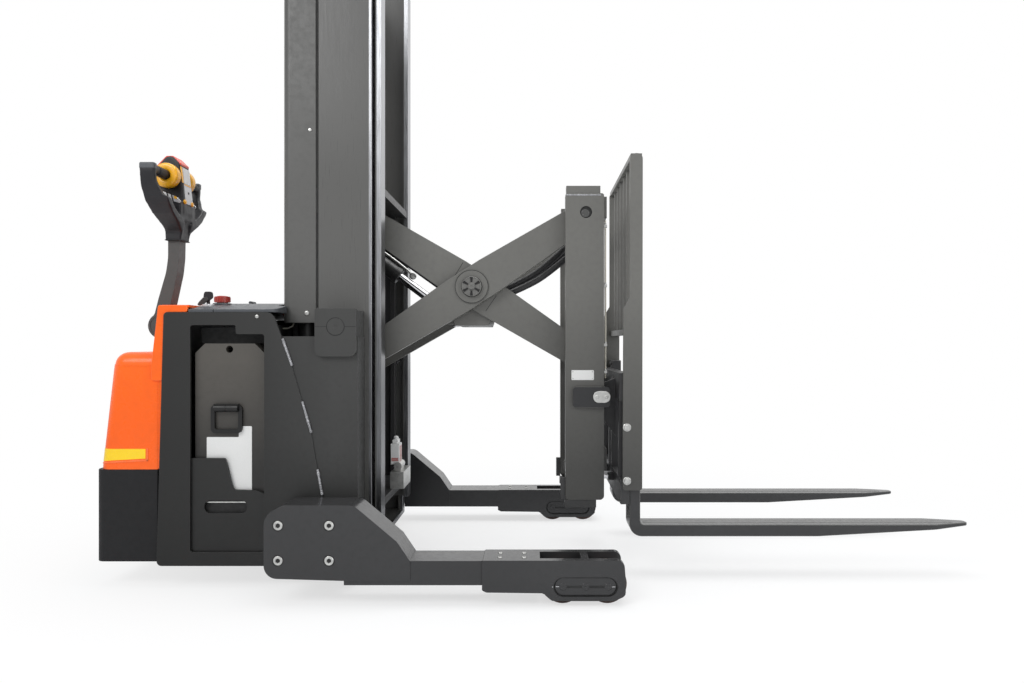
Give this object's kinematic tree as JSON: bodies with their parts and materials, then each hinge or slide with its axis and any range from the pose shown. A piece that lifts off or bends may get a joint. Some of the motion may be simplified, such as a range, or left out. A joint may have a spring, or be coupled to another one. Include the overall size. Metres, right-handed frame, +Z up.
{
  "type": "walkie reach truck",
  "caption": "Walk-behind electric reach truck with straddle legs, telescoping mast, scissor reach carriage with forks and backrest, and a steering tiller over an orange drive cover.",
  "frame": {"origin": "centre of the bounding box's footprint, on the floor", "axes": "+X towards the fork tips, +Y to the truck's left, +Z up"},
  "size_m": [2.816, 1.253, 2.14],
  "materials": {
    "charcoal_paint": "satin",
    "battery_grey": "satin",
    "black_steel": "satin",
    "charcoal_plastic": "matte",
    "orange_paint": "gloss",
    "hood_plastic": "matte",
    "black_plastic": "matte",
    "red_plastic": "gloss",
    "yellow_plastic": "gloss",
    "wheel_urethane": "satin",
    "rail_steel": "satin",
    "chain_steel": "satin",
    "roller_steel": "satin",
    "chrome_rod": "gloss",
    "zinc": "satin"
  },
  "bodies": {
    "chassis": {"chassis_frame": "charcoal_paint", "battery_case": "battery_grey", "window_covers": "charcoal_paint", "battery_pulls": "black_steel", "pump_block": "black_steel", "rear_skirt": "charcoal_plastic", "rear_cover": "orange_paint", "dash_panel": "hood_plastic", "key_switch": "black_plastic", "emergency_stop": "red_plastic", "leg_left": "charcoal_paint", "leg_right": "charcoal_paint", "wheel_bogies": "black_steel", "mast_outer": "charcoal_paint", "mast_side_covers": "charcoal_paint", "lift_barrels": "black_steel"},
    "hood": {"top_hood": "hood_plastic"},
    "steering": {"steer_unit": "black_steel", "steering_neck": "charcoal_paint"},
    "drive_wheel": {"drive_wheel": "wheel_urethane"},
    "tiller": {"tiller_arm": "black_plastic", "tiller_head": "black_plastic", "throttle_knobs": "yellow_plastic"},
    "load_wheel_rear_left": {"load_wheel_rear_left": "wheel_urethane"},
    "load_wheel_front_left": {"load_wheel_front_left": "wheel_urethane"},
    "load_wheel_rear_right": {"load_wheel_rear_right": "wheel_urethane"},
    "load_wheel_front_right": {"load_wheel_front_right": "wheel_urethane"},
    "inner_mast": {"mast_inner": "rail_steel", "lift_rods": "chrome_rod", "chain_sheaves": "rail_steel", "lift_chains": "chain_steel"},
    "carriage": {"lift_carriage": "charcoal_paint", "carriage_rollers": "roller_steel", "valve_block": "zinc"},
    "inner_arm": {"arm_inner": "charcoal_paint", "pivot_hubs": "charcoal_paint"},
    "outer_arm": {"arm_outer": "charcoal_paint"},
    "reach_frame": {"reach_frame": "charcoal_paint"},
    "reach_barrel": {"reach_barrel": "black_steel"},
    "reach_rod": {"reach_rod": "chrome_rod"},
    "tilt_barrel": {"tilt_barrels": "black_steel"},
    "tilt_rod": {"tilt_rods": "chrome_rod"},
    "fork_head": {"fork_carriage": "charcoal_paint", "load_backrest": "charcoal_paint", "forks": "charcoal_paint"}
  },
  "joints": [
    {"name": "hood_hinge", "type": "hinge", "parent": "chassis", "child": "hood", "pos_m": [-1.009, 0, 0.899], "axis": [0, -1, 0], "range_deg": [0, 45]},
    {"name": "steer", "type": "hinge", "parent": "chassis", "child": "steering", "pos_m": [-1.248, 0, 0.4], "axis": [0, 0, 1], "range_deg": [-75, 75]},
    {"name": "drive_wheel_spin", "type": "hinge", "parent": "steering", "child": "drive_wheel", "pos_m": [-1.248, 0, 0.112], "axis": [0, 1, 0], "continuous": true},
    {"name": "tiller_pull", "type": "hinge", "parent": "steering", "child": "tiller", "pos_m": [-1.363, 0, 0.82], "axis": [0, -1, 0], "range_deg": [0, 80]},
    {"name": "load_wheel_rear_left_spin", "type": "hinge", "parent": "chassis", "child": "load_wheel_rear_left", "pos_m": [0.066, 0.563, 0.057], "axis": [0, 1, 0], "continuous": true},
    {"name": "load_wheel_rear_right_spin", "type": "hinge", "parent": "chassis", "child": "load_wheel_rear_right", "pos_m": [0.066, -0.563, 0.057], "axis": [0, 1, 0], "continuous": true},
    {"name": "load_wheel_front_left_spin", "type": "hinge", "parent": "chassis", "child": "load_wheel_front_left", "pos_m": [0.196, 0.563, 0.057], "axis": [0, 1, 0], "continuous": true},
    {"name": "load_wheel_front_right_spin", "type": "hinge", "parent": "chassis", "child": "load_wheel_front_right", "pos_m": [0.196, -0.563, 0.057], "axis": [0, 1, 0], "continuous": true},
    {"name": "mast_lift", "type": "slide", "parent": "chassis", "child": "inner_mast", "axis": [0, 0, 1], "range_m": [-0.05, 1.25]},
    {"name": "carriage_lift", "type": "slide", "parent": "inner_mast", "child": "carriage", "axis": [0, 0, 1], "range_m": [-0.05, 1.25]},
    {"name": "reach", "type": "hinge", "parent": "carriage", "child": "inner_arm", "pos_m": [-0.612, 0, 1.195], "axis": [0, 1, 0], "range_deg": [0, 43.5]},
    {"name": "scissor_cross", "type": "hinge", "parent": "inner_arm", "child": "outer_arm", "pos_m": [-0.227, 0, 0.949], "axis": [0, -1, 0], "range_deg": [0, 87]},
    {"name": "frame_hang", "type": "hinge", "parent": "outer_arm", "child": "reach_frame", "pos_m": [0.158, 0, 1.195], "axis": [0, 1, 0], "range_deg": [0, 43.5]},
    {"name": "reach_barrel_swing", "type": "hinge", "parent": "carriage", "child": "reach_barrel", "pos_m": [-0.622, 0, 1.087], "axis": [0, 1, 0], "range_deg": [0, 54]},
    {"name": "reach_rod_slide", "type": "slide", "parent": "reach_barrel", "child": "reach_rod", "axis": [0.8024, 0, -0.5968], "range_m": [-0.055, 0]},
    {"name": "fork_tilt", "type": "hinge", "parent": "reach_frame", "child": "fork_head", "pos_m": [0.203, 0, 0.578], "axis": [0, -1, 0], "range_deg": [-3, 4]},
    {"name": "tilt_barrel_swing", "type": "hinge", "parent": "reach_frame", "child": "tilt_barrel", "pos_m": [0.114, 0, 0.29], "axis": [0, -1, 0], "range_deg": [-2, 2]},
    {"name": "tilt_rod_slide", "type": "slide", "parent": "tilt_barrel", "child": "tilt_rod", "axis": [1, 0, 0], "range_m": [-0.018, 0.023]}
  ],
  "couplings": [
    {"joint": "carriage_lift", "follows": "mast_lift", "ratio": 1},
    {"joint": "scissor_cross", "follows": "reach", "ratio": 2},
    {"joint": "frame_hang", "follows": "reach", "ratio": 1},
    {"joint": "reach_barrel_swing", "follows": "reach", "ratio": 1.22},
    {"joint": "reach_rod_slide", "follows": "reach", "m_per_rad": -0.063},
    {"joint": "tilt_barrel_swing", "follows": "fork_tilt", "ratio": 0.36},
    {"joint": "tilt_rod_slide", "follows": "fork_tilt", "m_per_rad": 0.2875}
  ]
}
